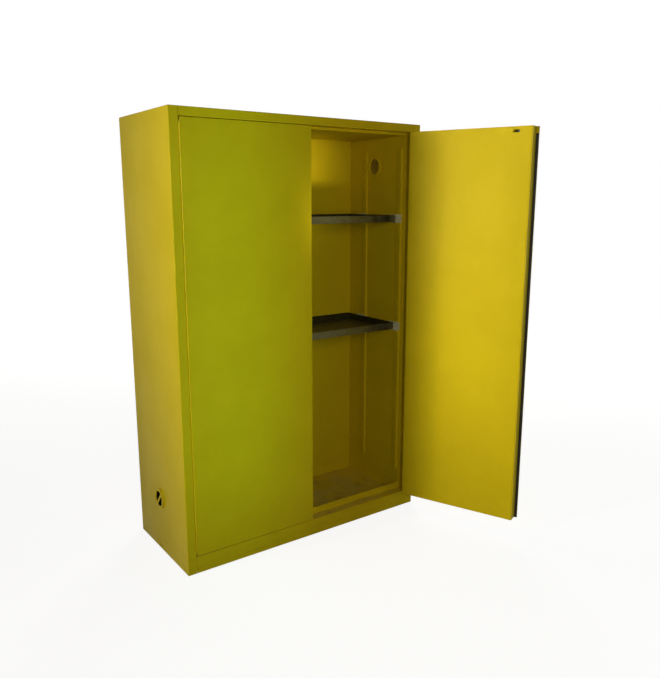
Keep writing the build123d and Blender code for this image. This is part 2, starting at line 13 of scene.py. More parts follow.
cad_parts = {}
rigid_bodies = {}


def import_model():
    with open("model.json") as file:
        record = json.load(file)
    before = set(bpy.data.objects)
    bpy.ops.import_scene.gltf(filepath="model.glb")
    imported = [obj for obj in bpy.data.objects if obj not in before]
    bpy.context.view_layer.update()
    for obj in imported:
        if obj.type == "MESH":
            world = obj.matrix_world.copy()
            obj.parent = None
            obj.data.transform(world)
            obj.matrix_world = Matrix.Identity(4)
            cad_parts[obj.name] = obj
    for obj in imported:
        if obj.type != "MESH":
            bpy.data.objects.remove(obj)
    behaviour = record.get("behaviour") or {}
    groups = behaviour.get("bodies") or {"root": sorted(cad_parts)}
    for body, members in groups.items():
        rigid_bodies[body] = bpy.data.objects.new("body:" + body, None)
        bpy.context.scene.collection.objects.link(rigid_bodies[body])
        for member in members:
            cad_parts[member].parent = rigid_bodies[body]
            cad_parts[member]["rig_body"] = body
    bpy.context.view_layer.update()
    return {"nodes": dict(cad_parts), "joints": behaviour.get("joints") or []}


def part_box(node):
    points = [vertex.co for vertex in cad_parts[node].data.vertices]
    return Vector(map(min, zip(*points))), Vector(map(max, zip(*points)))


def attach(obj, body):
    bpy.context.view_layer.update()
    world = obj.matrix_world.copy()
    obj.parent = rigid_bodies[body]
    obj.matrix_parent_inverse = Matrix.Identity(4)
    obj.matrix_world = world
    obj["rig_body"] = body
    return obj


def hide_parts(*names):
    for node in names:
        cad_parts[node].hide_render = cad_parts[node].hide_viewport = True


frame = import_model()
JOINTS = {joint["name"]: joint for joint in frame["joints"]}

bl_info = {
    "name": "Storage Cabinet",
    "version": (1, 0, 0),
    "blender": (4, 5, 0),
    "location": "View3D > Sidebar > Cabinet",
    "description": "Finishes a two-door sheet steel storage cabinet and sets up its studio",
    "category": "Object",
}

OUTER_SHELL = ("side_left", "side_right", "back_sheet", "top_sheet", "base_sheet", "top_rail", "bottom_rail")
INNER_BOX = ("liner_left", "liner_right", "liner_back", "liner_top", "sump_tray")
STANDARDS = ("standard_front_left", "standard_front_right", "standard_rear_left", "standard_rear_right")
CLIPS = ("clips_lower", "clips_upper")
SHELVES = ("shelf_lower", "shelf_upper")
LEFT_DOOR = ("door_left_outer", "door_left_inner", "door_left_flange")
RIGHT_DOOR = ("door_right_outer", "door_right_inner", "door_right_strip")
PLATED_PIECES = ("handle", "handle_rose", "key_cylinder")
RODS = ("rod_upper", "rod_lower")

# Copies of solids: corners closer than this are one, faces flatter than this are joined, and the area that a
# rounded copy may have as a share of its solid's.
MERGE_DISTANCE = 1e-6
FLAT_ANGLE = math.radians(0.5)
KEPT_AREA = (0.9, 1.05)

# Hinges: knuckles of both halves together, sides of one knuckle and the angle from which its edges are sharp.
KNUCKLES = 60
KNUCKLE_SIDES = 24
KNUCKLE_SHARP = math.radians(35)

# Specular level of the coat, which is low because the bright surround veils it, and of rubber and plastic.
COAT_SPECULAR = 0.035
MOULDED_SPECULAR = 0.35

# Floor: half its side, its grey, and how its white rises with the distance from the cabinet.
FLOOR_REACH = 30.0
FLOOR_GREY = (0.4, 0.4, 0.4, 1.0)
FLOOR_FADE = (1.2, 6.0)
FLOOR_WHITE = (1.76, 2.0)
WHITE = (1.0, 1.0, 1.0, 1.0)

SENSOR_WIDTH = 36.0


class Lamp(NamedTuple):
    """A soft rectangular lamp, with the studio setting that holds its power. Its spread is in degrees."""

    name: str
    power: str
    place: tuple
    target: tuple
    size: tuple
    colour: tuple
    spread: float


LAMPS = (
    Lamp("window_light", "window", (-6.0, 0.25, 1.8), (0.6, -1.7, 1.2), (0.9, 1.2), (1.0, 0.98, 0.88), 44),
    Lamp("door_light", "door", (-2.4, -1.5, 1.15), (0.618, -0.507, 1.2), (0.2, 1.6), (1.0, 0.95, 0.85), 10),
    Lamp("front_light", "front", (-1.1, -2.6, 1.45), (0.2, -0.1, 1.2), (0.7, 0.7), (1.0, 0.92, 0.75), 180),
    Lamp("far_light", "far", (4.0, -1.95, 1.0), (-0.4, -0.2, 1.0), (2.4, 1.3), (0.8, 1.0, 0.75), 180),
    Lamp("back_light", "back", (3.2, 3.6, 1.9), (0.2, 0.0, 0.9), (2.2, 1.8), (1.0, 0.96, 0.9), 180),
    Lamp("strip_light", "strip", (-0.36, -1.15, 0.95), (-0.36, 0.0, 0.95), (0.2, 1.6), (0.37, 1.0, 0.5), 62),
    Lamp("bay_light", "bay", (0.05, -1.5, 0.75), (0.2, 0.15, 1.45), (0.2, 0.2), (1.0, 0.92, 0.75), 16),
)


class PaintSettings(bpy.types.PropertyGroup):
    """Yellow powder coat of the sheet steel."""

    colour: bpy.props.FloatVectorProperty(
        name="Paint", description="Colour of the coat", subtype="COLOR", min=0, max=1,
        default=(0.64, 0.485, 0.008))
    shade: bpy.props.FloatVectorProperty(
        name="Shade", description="Colour of the thinner clouds in the coat", subtype="COLOR", min=0, max=1,
        default=(0.57, 0.43, 0.006))
    roughness: bpy.props.FloatProperty(
        name="Roughness", description="Gloss of the clean coat", subtype="FACTOR", min=0, max=1, default=0.36)
    # Painted shade: this near-black colour is laid into the recess of a bung, where it stands for the shade
    # down in the recess.
    recess_shade: bpy.props.FloatVectorProperty(
        name="Bare", description="Colour of the dark metal that the coat doesn't reach", subtype="COLOR",
        min=0, max=1, default=(0.02, 0.018, 0.006))
    dust: bpy.props.FloatVectorProperty(
        name="Dust", description="Colour of the dust on faces that look up", subtype="COLOR", min=0, max=1,
        default=(0.42, 0.39, 0.27))
    scuff: bpy.props.FloatVectorProperty(
        name="Scuff", description="Colour of the scuffs at the foot", subtype="COLOR", min=0, max=1,
        default=(0.16, 0.12, 0.02))
    # Depths below a bung's rim over which the painted shade in its recess fades in.
    recess: bpy.props.FloatVectorProperty(
        name="Recess", description="Depths at which the coat of a bung thins out and ends", size=2,
        unit="LENGTH", default=(0.0025, 0.005))
    peel: bpy.props.FloatProperty(
        name="Peel Size", description="Grain of the orange peel", unit="LENGTH", min=1e-4, default=0.003)
    ripple: bpy.props.FloatProperty(
        name="Ripple Size", description="Length of the waves in the large sheets", unit="LENGTH", min=0.01,
        default=0.35)


class MetalSettings(bpy.types.PropertyGroup):
    """Bare and plated metal, rubber and plastic."""

    # Partly the sheet's own zinc, partly painted light: the colour is darkened and tinted olive as painted
    # shade and a painted reflection of the yellow walls.
    zinc: bpy.props.FloatVectorProperty(
        name="Zinc", description="Colour of the galvanised sheet", subtype="COLOR", min=0, max=1,
        default=(0.085, 0.078, 0.03))
    # Partly the clips' own pale zinc, partly a painted highlight: the colour is made brighter to stand for
    # light falling on the shelf ends.
    clip: bpy.props.FloatVectorProperty(
        name="Clip", description="Colour of the brighter zinc of the clips", subtype="COLOR", min=0, max=1,
        default=(0.85, 0.84, 0.6))
    dust: bpy.props.FloatVectorProperty(
        name="Dust", description="Colour of the dust on the zinc", subtype="COLOR", min=0, max=1,
        default=(0.17, 0.15, 0.07))
    spangle: bpy.props.FloatProperty(
        name="Spangle", description="Size of the zinc crystals", unit="LENGTH", min=1e-3, default=0.014)
    steel: bpy.props.FloatVectorProperty(
        name="Steel", description="Colour of plain bright steel", subtype="COLOR", min=0, max=1,
        default=(0.5, 0.49, 0.47))
    plate: bpy.props.FloatVectorProperty(
        name="Plate", description="Colour of the dull flame arresters", subtype="COLOR", min=0, max=1,
        default=(0.38, 0.3, 0.06))
    rod: bpy.props.FloatVectorProperty(
        name="Rod", description="Colour of the blackened rods", subtype="COLOR", min=0, max=1,
        default=(0.07, 0.065, 0.05))
    plating: bpy.props.FloatVectorProperty(
        name="Plating", description="Colour of the plated handle and lock", subtype="COLOR", min=0, max=1,
        default=(0.46, 0.455, 0.44))
    seal: bpy.props.FloatVectorProperty(
        name="Seal", description="Colour of the sealing strip", subtype="COLOR", min=0, max=1,
        default=(0.012, 0.011, 0.006))
    guide: bpy.props.FloatVectorProperty(
        name="Guide", description="Colour of the rod guides", subtype="COLOR", min=0, max=1,
        default=(0.02, 0.02, 0.021))


class SheetSettings(bpy.types.PropertyGroup):
    """Edges of the cut and folded sheet."""

    edge: bpy.props.FloatProperty(
        name="Edge", description="Rounding of the cut sheet edges", unit="LENGTH", min=0, default=0.0005)
    segments: bpy.props.IntProperty(
        name="Segments", description="Steps across each rounded edge", min=1, max=4, default=2)
    fold_angle: bpy.props.FloatProperty(
        name="Fold Angle", description="Edges flatter than this are left as they are", subtype="ANGLE",
        default=math.radians(40))


class HingeSettings(bpy.types.PropertyGroup):
    """Full-height hinges."""

    pitch: bpy.props.FloatProperty(
        name="Pitch", description="Length of one knuckle with its gap", unit="LENGTH", min=0.005,
        default=(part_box("hinge_frame_left")[1].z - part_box("hinge_frame_left")[0].z) / KNUCKLES)
    gap: bpy.props.FloatProperty(
        name="Gap", description="Gap between two knuckles", unit="LENGTH", min=0, default=0.0005)
    radius: bpy.props.FloatProperty(
        name="Radius", description="Outer radius of a knuckle", unit="LENGTH", min=0.001, default=0.0032)
    leaf: bpy.props.FloatProperty(
        name="Leaf", description="Thickness of a leaf", unit="LENGTH", min=0.0002, default=0.001)
    offset: bpy.props.FloatProperty(
        name="Offset", description="Distance of a leaf's middle from the hinge axis", unit="LENGTH",
        default=0.0015)
    reach: bpy.props.FloatProperty(
        name="Reach", description="Distance from the hinge axis to the leaf's edge", unit="LENGTH",
        default=0.0036)


class StudioSettings(bpy.types.PropertyGroup):
    """Camera, lamps and floor."""

    camera: bpy.props.FloatVectorProperty(
        name="Camera", description="Place of the camera", subtype="XYZ", unit="LENGTH",
        default=(-1.462, -2.396, 1.360))
    yaw: bpy.props.FloatProperty(
        name="Yaw", description="Turn of the camera to the right of +Y", subtype="ANGLE",
        default=math.radians(35.62))
    pitch: bpy.props.FloatProperty(
        name="Pitch", description="Tilt of the camera below the horizon", subtype="ANGLE",
        default=math.radians(11.61))
    lens: bpy.props.FloatProperty(
        name="Lens", description="Focal length in millimetres for a 36 mm sensor", min=10, default=36.53)
    window: bpy.props.FloatProperty(
        name="Window", description="Power of the soft light from the left", unit="POWER", default=24.7)
    front: bpy.props.FloatProperty(
        name="Front", description="Power of the soft light in front", unit="POWER", default=18.2)
    far: bpy.props.FloatProperty(
        name="Far", description="Power of the soft light from the right", unit="POWER", default=21.0)
    back: bpy.props.FloatProperty(
        name="Back", description="Power of the soft light behind the cabinet", unit="POWER", default=150.0)
    strip: bpy.props.FloatProperty(
        name="Strip", description="Power of the tall light on the shut door", unit="POWER", default=0.84)
    door: bpy.props.FloatProperty(
        name="Door", description="Power of the tall light on the open door", unit="POWER", default=0.34)
    bay: bpy.props.FloatProperty(
        name="Bay", description="Power of the small light into the upper bay", unit="POWER", default=0.18)
    sky: bpy.props.FloatProperty(
        name="Sky", description="Strength of the even light from all round", min=0, default=0.055)


SETTINGS = {
    "cabinet_paint": PaintSettings,
    "cabinet_metal": MetalSettings,
    "cabinet_sheet": SheetSettings,
    "cabinet_hinge": HingeSettings,
    "cabinet_studio": StudioSettings,
}


class NodeSketch:
    """Adds and links the nodes of one tree."""

    def __init__(self, tree):
        self.tree = tree

    def add(self, kind, settings=None, **inputs):
        """A node of that kind with its settings, its inputs given a value or a socket by name or place."""
        node = self.tree.nodes.new(kind)
        for name, value in (settings or {}).items():
            setattr(node, name, value)
        for name, value in inputs.items():
            key = int(name[1:]) if name[0] == "i" and name[1:].isdigit() else name.replace("_", " ")
            self.feed(node.inputs[key], value)
        return node

    def feed(self, socket, value):
        """Links a socket to an input, or sets its own value."""
        if isinstance(value, bpy.types.NodeSocket):
            self.tree.links.new(value, socket)
        else:
            socket.default_value = value

    def math(self, operation, first, second=0.0, clamp=False):
        """The result of one operation on two values."""
        node = self.add("ShaderNodeMath", {"operation": operation, "use_clamp": clamp}, i0=first, i1=second)
        return node.outputs[0]

    def blend(self, factor, first, second):
        """A colour between two others."""
        node = self.add("ShaderNodeMix", {"data_type": "RGBA", "clamp_factor": True})
        self.feed(node.inputs[0], factor)
        self.feed(node.inputs[6], first)
        self.feed(node.inputs[7], second)
        return node.outputs[2]

    def span(self, value, low, high, to_low, to_high, smooth=False):
        """A value carried from one span to another."""
        style = "SMOOTHSTEP" if smooth else "LINEAR"
        node = self.add("ShaderNodeMapRange", {"interpolation_type": style})
        for index, item in enumerate((value, low, high, to_low, to_high)):
            self.feed(node.inputs[index], item)
        return node.outputs[0]

    def mask(self, value, low, high):
        """A soft step from 0 at one value to 1 at another."""
        return self.span(value, low, high, 0.0, 1.0, True)

    def noise(self, vector, scale, detail, roughness):
        """Cloudy noise with that many cells to the metre."""
        node = self.add("ShaderNodeTexNoise", Vector=vector, Scale=scale, Detail=detail, Roughness=roughness)
        return node.outputs["Fac"]


def shader_group(name, inputs, outputs, build):
    """A shader group, built once: inputs are (name, type, default), outputs are names of values."""
    if name in bpy.data.node_groups:
        return bpy.data.node_groups[name]
    tree = bpy.data.node_groups.new(name, "ShaderNodeTree")
    for title, kind, default in inputs:
        socket = tree.interface.new_socket(title, in_out="INPUT", socket_type=kind)
        if default is not None:
            socket.default_value = default
    for title in outputs:
        tree.interface.new_socket(title, in_out="OUTPUT", socket_type="NodeSocketFloat")
    sketch = NodeSketch(tree)
    given = sketch.add("NodeGroupInput").outputs
    made = sketch.add("NodeGroupOutput").inputs
    for title, socket in build(sketch, given).items():
        tree.links.new(socket, made[title])
    return tree


def coat_texture():
    """Grain, waves and clouds of a powder coat on sheet steel."""
    def build(sketch, given):
        place = given["Vector"]
        grain = sketch.noise(place, sketch.math("DIVIDE", 1.0, given["Peel Size"]), detail=3.0, roughness=0.6)
        waves = sketch.noise(
            place, sketch.math("DIVIDE", 1.0, given["Ripple Size"]), detail=1.0, roughness=0.4)
        clouds = sketch.noise(place, 5.0, detail=4.0, roughness=0.62)
        return {"Grain": grain, "Waves": waves, "Clouds": sketch.mask(clouds, 0.35, 0.65)}
    return shader_group(
        "Coat Texture",
        [("Vector", "NodeSocketVector", None), ("Peel Size", "NodeSocketFloat", 0.003),
         ("Ripple Size", "NodeSocketFloat", 0.35)],
        ["Grain", "Waves", "Clouds"], build)


def settled_dust():
    """Dust on faces that look up, patchy where it was wiped."""
    def build(sketch, given):
        normal = sketch.add("ShaderNodeNewGeometry").outputs["Normal"]
        up = sketch.add("ShaderNodeSeparateXYZ", Vector=normal).outputs["Z"]
        level = sketch.mask(up, 0.75, 0.98)
        wiped = sketch.noise(given["Vector"], 9.0, detail=5.0, roughness=0.65)
        patches = sketch.span(wiped, 0.38, 0.7, 0.15, 1.0, True)
        return {"Dust": sketch.math("MULTIPLY", sketch.math("MULTIPLY", level, patches), given["Amount"])}
    return shader_group(
        "Settled Dust", [("Vector", "NodeSocketVector", None), ("Amount", "NodeSocketFloat", 0.3)],
        ["Dust"], build)


def foot_scuffs():
    """Scuffs and grime within reach of shoes and a mop."""
    def build(sketch, given):
        height = sketch.add("ShaderNodeSeparateXYZ", Vector=given["Vector"]).outputs["Z"]
        low = sketch.span(height, 0.0, given["Reach"], 1.0, 0.0, True)
        flat = sketch.add("ShaderNodeMapping", Vector=given["Vector"], Scale=(1.0, 1.0, 6.0)).outputs[0]
        marks = sketch.mask(sketch.noise(flat, 14.0, detail=6.0, roughness=0.7), 0.52, 0.72)
        return {"Scuffs": sketch.math("MULTIPLY", low, marks)}
    return shader_group(
        "Foot Scuffs", [("Vector", "NodeSocketVector", None), ("Reach", "NodeSocketFloat", 0.16)],
        ["Scuffs"], build)


def drawn_lines():
    """Fine lines left by rolling or brushing, along the vector's Z."""
    along = 0.012

    def build(sketch, given):
        stretch = sketch.add(
            "ShaderNodeCombineXYZ", X=given["Density"], Y=given["Density"],
            Z=sketch.math("MULTIPLY", given["Density"], along)).outputs[0]
        vector = sketch.add("ShaderNodeVectorMath", {"operation": "MULTIPLY"}, i0=given["Vector"], i1=stretch)
        return {"Lines": sketch.noise(vector.outputs[0], 1.0, detail=3.0, roughness=0.6)}
    return shader_group(
        "Drawn Lines", [("Vector", "NodeSocketVector", None), ("Density", "NodeSocketFloat", 900.0)],
        ["Lines"], build)


class Finish:
    """A material under way: its tree, its shader and its object coordinates."""

    def __init__(self, name):
        self.material = bpy.data.materials.new(name)
        self.material.use_nodes = True
        self.sketch = NodeSketch(self.material.node_tree)
        self.shader = self.material.node_tree.nodes["Principled BSDF"]
        self.place = self.sketch.add("ShaderNodeTexCoord").outputs["Object"]

    def group(self, tree, **inputs):
        """The outputs of a shader group placed in this material with its own values."""
        node = self.sketch.add("ShaderNodeGroup", {"node_tree": tree})
        for name, value in inputs.items():
            self.sketch.feed(node.inputs[name.replace("_", " ")], value)
        return node.outputs

    def bump(self, height, strength, distance, under=None):
        """A bump over another normal."""
        node = self.sketch.add("ShaderNodeBump", Strength=strength, Distance=distance, Height=height)
        if under is not None:
            self.sketch.feed(node.inputs["Normal"], under)
        return node.outputs["Normal"]

    def set(self, **inputs):
        """Feeds the shader's sockets."""
        for name, value in inputs.items():
            self.sketch.feed(self.shader.inputs[name.replace("_", " ")], value)


def opaque(colour):
    """A colour with its alpha."""
    return (*colour, 1.0)


def powder_coat(name, recess_shade=None):
    """Powder coat: clouded colour, orange peel, wavy sheet, dust, scuffs at the foot and, where a mask is
    given, painted shade.
    """
    if name in bpy.data.materials:
        return bpy.data.materials[name]
    paint = bpy.context.scene.cabinet_paint
    finish = Finish(name)
    sketch = finish.sketch
    coat = finish.group(coat_texture(), Vector=finish.place, Peel_Size=paint.peel, Ripple_Size=paint.ripple)
    dust = finish.group(settled_dust(), Vector=finish.place, Amount=0.28)["Dust"]
    scuffs = finish.group(foot_scuffs(), Vector=finish.place, Reach=0.14)["Scuffs"]
    thin = sketch.math("MULTIPLY", coat["Clouds"], 0.5)
    colour = sketch.blend(thin, opaque(paint.colour), opaque(paint.shade))
    colour = sketch.blend(dust, colour, opaque(paint.dust))
    colour = sketch.blend(sketch.math("MULTIPLY", scuffs, 0.35), colour, opaque(paint.scuff))
    # Painted shade: the given mask darkens the coat, such as down in a bung's recess.
    if recess_shade is not None:
        colour = sketch.blend(recess_shade(sketch, finish.place), colour, opaque(paint.recess_shade))
    rough = sketch.span(coat["Clouds"], 0.0, 1.0, paint.roughness, paint.roughness + 0.07)
    dirt = sketch.math("MULTIPLY", sketch.math("ADD", dust, scuffs), 0.3)
    waves = finish.bump(coat["Waves"], strength=0.25, distance=0.004)
    grain = finish.bump(coat["Grain"], strength=0.12, distance=0.0004, under=waves)
    finish.set(Base_Color=colour, Roughness=sketch.math("ADD", rough, dirt, True), Normal=grain,
               Specular_IOR_Level=COAT_SPECULAR)
    return finish.material


def yellow_coat():
    """Powder coat of the sheets, the vents and the hinges."""
    return powder_coat("yellow_coat")


def bung_coat():
    """Powder coat on the rim and the grip bar of a bung, with painted shade darkening its recess."""
    low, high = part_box("vent_bung_lower")
    face = max(abs(low.x), abs(high.x))
    begin, end = bpy.context.scene.cabinet_paint.recess

    # Mask of the painted shade: 0 at the rim face, rising to 1 deeper in the recess.
    def recess(sketch, place):
        across = sketch.add("ShaderNodeSeparateXYZ", Vector=place).outputs["X"]
        depth = sketch.math("SUBTRACT", face, sketch.math("ABSOLUTE", across))
        return sketch.mask(depth, begin, end)
    return powder_coat("bung_coat", recess)


def galvanised(name, zinc, metallic):
    """Hot-dip zinc: crystals of uneven brightness, rolling lines and dust, over a colour that carries painted
    light.
    """
    if name in bpy.data.materials:
        return bpy.data.materials[name]
    metal = bpy.context.scene.cabinet_metal
    finish = Finish(name)
    sketch = finish.sketch
    crystals = sketch.add("ShaderNodeTexVoronoi", Vector=finish.place, Scale=1.0 / metal.spangle)
    shade = sketch.add("ShaderNodeSeparateColor", Color=crystals.outputs["Color"]).outputs[0]
    lines = finish.group(drawn_lines(), Vector=finish.place, Density=700.0)["Lines"]
    dust = finish.group(settled_dust(), Vector=finish.place, Amount=0.25)["Dust"]
    dark = tuple(channel * 0.72 for channel in zinc)
    colour = sketch.blend(shade, opaque(dark), opaque(zinc))
    colour = sketch.blend(dust, colour, opaque(metal.dust))
    rough = sketch.span(sketch.math("ADD", shade, lines), 0.4, 1.6, 0.28, 0.5)
    rough = sketch.math("ADD", rough, sketch.math("MULTIPLY", dust, 0.4), True)
    finish.set(Base_Color=colour, Roughness=rough, Metallic=metallic,
               Normal=finish.bump(lines, strength=0.08, distance=0.0002))
    return finish.material


def drawn_metal(name, colour, rough, density):
    """Plain or plated metal with fine drawn lines and dull handling marks."""
    if name in bpy.data.materials:
        return bpy.data.materials[name]
    finish = Finish(name)
    sketch = finish.sketch
    lines = finish.group(drawn_lines(), Vector=finish.place, Density=density)["Lines"]
    marks = sketch.mask(sketch.noise(finish.place, 60.0, detail=4.0, roughness=0.6), 0.4, 0.7)
    dark = tuple(channel * 0.8 for channel in colour)
    finish.set(Base_Color=sketch.blend(sketch.math("MULTIPLY", lines, 0.6), opaque(colour), opaque(dark)),
               Roughness=sketch.span(sketch.math("ADD", lines, marks), 0.3, 1.7, rough, rough + 0.18),
               Metallic=1.0, Normal=finish.bump(lines, strength=0.06, distance=0.0001))
    return finish.material


def moulded(name, colour, rough, grain):
    """Rubber or plastic with a moulded grain."""
    if name in bpy.data.materials:
        return bpy.data.materials[name]
    finish = Finish(name)
    sketch = finish.sketch
    pores = sketch.noise(finish.place, 1.0 / grain, detail=3.0, roughness=0.6)
    cloud = sketch.noise(finish.place, 30.0, detail=3.0, roughness=0.6)
    bloom = sketch.span(cloud, 0.4, 0.7, 0.0, 0.4, True)
    pale = tuple(min(1.0, channel * 2.2 + 0.008) for channel in colour)
    finish.set(Base_Color=sketch.blend(bloom, opaque(colour), opaque(pale)),
               Roughness=sketch.span(pores, 0.3, 0.7, rough, rough + 0.12),
               Normal=finish.bump(pores, strength=0.2, distance=0.0002), Specular_IOR_Level=MOULDED_SPECULAR)
    return finish.material


def shelf_zinc_with_painted_light():
    """Dull galvanised sheet of the shelves, darkened and tinted olive as painted shade and a painted
    reflection of the yellow walls.
    """
    return galvanised("zinc_sheet", bpy.context.scene.cabinet_metal.zinc, metallic=0.9)


def clip_zinc_with_highlight():
    """Pale zinc of the shelf clips, brightened as a painted highlight on the shelf ends."""
    return galvanised("zinc_clip", bpy.context.scene.cabinet_metal.clip, metallic=0.25)


def bright_steel():
    """Plain steel of the hinge pins and the cam."""
    return drawn_metal("drawn_steel", bpy.context.scene.cabinet_metal.steel, rough=0.3, density=1200.0)


def dull_steel():
    """Dull plate of the flame arresters."""
    return drawn_metal("dull_steel", bpy.context.scene.cabinet_metal.plate, rough=0.5, density=900.0)


def dark_steel():
    """Blackened steel of the rods."""
    return drawn_metal("dark_steel", bpy.context.scene.cabinet_metal.rod, rough=0.42, density=900.0)


def plated():
    """Satin plating of the handle and the lock."""
    return drawn_metal("satin_plating", bpy.context.scene.cabinet_metal.plating, rough=0.2, density=1600.0)


def seal_rubber():
    """Black rubber behind the overlap strip."""
    return moulded("black_seal", bpy.context.scene.cabinet_metal.seal, rough=0.62, grain=0.0015)


def guide_plastic():
    """Black plastic of the rod guides."""
    return moulded("black_guide", bpy.context.scene.cabinet_metal.guide, rough=0.45, grain=0.0008)


def solid(node):
    """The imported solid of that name."""
    if node not in frame["nodes"]:
        raise RuntimeError(f"No packed solid is named {node}")
    return frame["nodes"][node]


def body_of(node):
    """Name of the body that a solid belongs to."""
    return solid(node)["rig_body"]


def paint_solid(node, material):
    """Gives a solid that keeps its own mesh its finish."""
    slots = solid(node).data.materials
    slots.clear()
    slots.append(material)


def stand_in(piece, node):
    """Makes a finished piece stand for one solid."""
    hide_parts(node)
    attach(piece, body_of(node))


def area(mesh):
    """Area of a mesh, triangle by triangle."""
    mesh.calc_loop_triangles()
    return sum(triangle.area for triangle in mesh.loop_triangles)


def keeps_area(piece, node):
    """Whether a piece has about the area of a solid with its modifiers on."""
    bpy.context.view_layer.update()
    shown = piece.evaluated_get(bpy.context.evaluated_depsgraph_get())
    share = area(shown.to_mesh()) / area(solid(node).data)
    shown.to_mesh_clear()
    return KEPT_AREA[0] < share < KEPT_AREA[1]


def sheet_mesh(node, material, joined):
    """A copy of a solid's mesh with shared corners, its flat faces joined where that is asked."""
    mesh = bpy.data.meshes.new(f"{node}_sheet")
    shape = bmesh.new()
    shape.from_mesh(solid(node).data)
    bmesh.ops.remove_doubles(shape, verts=shape.verts, dist=MERGE_DISTANCE)
    if joined:
        bmesh.ops.dissolve_limit(shape, angle_limit=FLAT_ANGLE, verts=shape.verts, edges=shape.edges)
        bmesh.ops.connect_verts_concave(shape, faces=shape.faces)
    for face in shape.faces:
        face.smooth = True
        face.material_index = 0
    shape.to_mesh(mesh)
    shape.free()
    if "custom_normal" in mesh.attributes:
        mesh.attributes.remove(mesh.attributes["custom_normal"])
    mesh.materials.append(material)
    mesh.set_sharp_from_angle(angle=bpy.context.scene.cabinet_sheet.fold_angle)
    return mesh


def softened(node, material):
    """A copy of a sheet metal solid with joined faces and rounded edges."""
    sheet = bpy.context.scene.cabinet_sheet
    piece = bpy.data.objects.new(f"{node}_sheet", sheet_mesh(node, material, True))
    bpy.context.scene.collection.objects.link(piece)
    bevel = piece.modifiers.new("Rounded Edges", "BEVEL")
    bevel.width = sheet.edge
    bevel.segments = sheet.segments
    bevel.limit_method = "ANGLE"
    bevel.angle_limit = sheet.fold_angle
    bevel.use_clamp_overlap = False
    bevel.loop_slide = False
    bevel.harden_normals = True
    if not keeps_area(piece, node):
        joined = piece.data
        piece.data = sheet_mesh(node, material, False)
        bpy.data.meshes.remove(joined)
        if not keeps_area(piece, node):
            raise RuntimeError(f"The rounded copy of {node} doesn't keep its faces")
    stand_in(piece, node)
    return piece


def knuckle_tree():
    """Geometry nodes of one hinge half: a leaf with a row of knuckles around the Z axis."""
    name = "Hinge Half"
    if name in bpy.data.node_groups:
        return bpy.data.node_groups[name]
    tree = bpy.data.node_groups.new(name, "GeometryNodeTree")
    for title in ("Length", "Pitch", "Gap", "Radius", "Leaf", "Leaf Offset", "Leaf Depth", "Reach"):
        tree.interface.new_socket(title, in_out="INPUT", socket_type="NodeSocketFloat")
    tree.interface.new_socket("First", in_out="INPUT", socket_type="NodeSocketInt")
    tree.interface.new_socket("Finish", in_out="INPUT", socket_type="NodeSocketMaterial")
    tree.interface.new_socket("Geometry", in_out="OUTPUT", socket_type="NodeSocketGeometry")
    sketch = NodeSketch(tree)
    given = sketch.add("NodeGroupInput").outputs

    def point(x=0.0, y=0.0, z=0.0):
        return sketch.add("ShaderNodeCombineXYZ", X=x, Y=y, Z=z).outputs[0]

    def half_of(value):
        return sketch.math("MULTIPLY", value, 0.5)

    length = sketch.math("SUBTRACT", given["Pitch"], given["Gap"])
    barrel = sketch.add(
        "GeometryNodeMeshCylinder", Vertices=KNUCKLE_SIDES, Radius=given["Radius"], Depth=length)
    tab = sketch.add("GeometryNodeMeshCube", Size=point(given["Leaf"], given["Reach"], length))
    tab = sketch.add("GeometryNodeTransform", Geometry=tab.outputs[0], Translation=point(
        given["Leaf Offset"], half_of(given["Reach"])))
    knuckle = sketch.add("GeometryNodeJoinGeometry")
    for part in (barrel.outputs[0], tab.outputs[0]):
        tree.links.new(part, knuckle.inputs[0])
    places = sketch.math("SUBTRACT", sketch.math("DIVIDE", given["Length"], given["Pitch"]), given["First"])
    rounding = 0.001
    count = sketch.math("CEIL", sketch.math("SUBTRACT", half_of(places), rounding))
    start = sketch.math("MULTIPLY", sketch.math("ADD", given["First"], 0.5), given["Pitch"])
    row = sketch.add("GeometryNodeMeshLine", Count=count, Start_Location=point(z=start),
                     Offset=point(z=sketch.math("MULTIPLY", given["Pitch"], 2.0)))
    knuckles = sketch.add("GeometryNodeInstanceOnPoints", Points=row.outputs[0], Instance=knuckle.outputs[0])
    leaf = sketch.add("GeometryNodeMeshCube", Size=point(given["Leaf"], given["Leaf Depth"], given["Length"]))
    middle = sketch.math("ADD", given["Reach"], half_of(given["Leaf Depth"]))
    leaf = sketch.add("GeometryNodeTransform", Geometry=leaf.outputs[0], Translation=point(
        given["Leaf Offset"], middle, half_of(given["Length"])))
    half = sketch.add("GeometryNodeJoinGeometry")
    for part in (knuckles.outputs[0], leaf.outputs[0]):
        tree.links.new(part, half.inputs[0])
    whole = sketch.add("GeometryNodeRealizeInstances", Geometry=half.outputs[0])
    coated = sketch.add("GeometryNodeSetMaterial", Geometry=whole.outputs[0], Material=given["Finish"])
    tree.links.new(coated.outputs[0], sketch.add("NodeGroupOutput").inputs[0])
    return tree


def grown(name, tree, values):
    """The plain mesh object that a geometry node tree makes from named values."""
    piece = bpy.data.objects.new(name, bpy.data.meshes.new(f"{name}_seed"))
    bpy.context.scene.collection.objects.link(piece)
    modifier = piece.modifiers.new("Growth", "NODES")
    modifier.node_group = tree
    for socket in tree.interface.items_tree:
        if socket.in_out == "INPUT" and socket.name in values:
            modifier[socket.identifier] = values[socket.name]
    bpy.context.view_layer.update()
    evaluated = piece.evaluated_get(bpy.context.evaluated_depsgraph_get())
    mesh = bpy.data.meshes.new_from_object(evaluated)
    if not mesh.polygons:
        raise RuntimeError(f"{name} has grown no faces")
    mesh.name = name
    piece.modifiers.clear()
    piece.data = mesh
    return piece


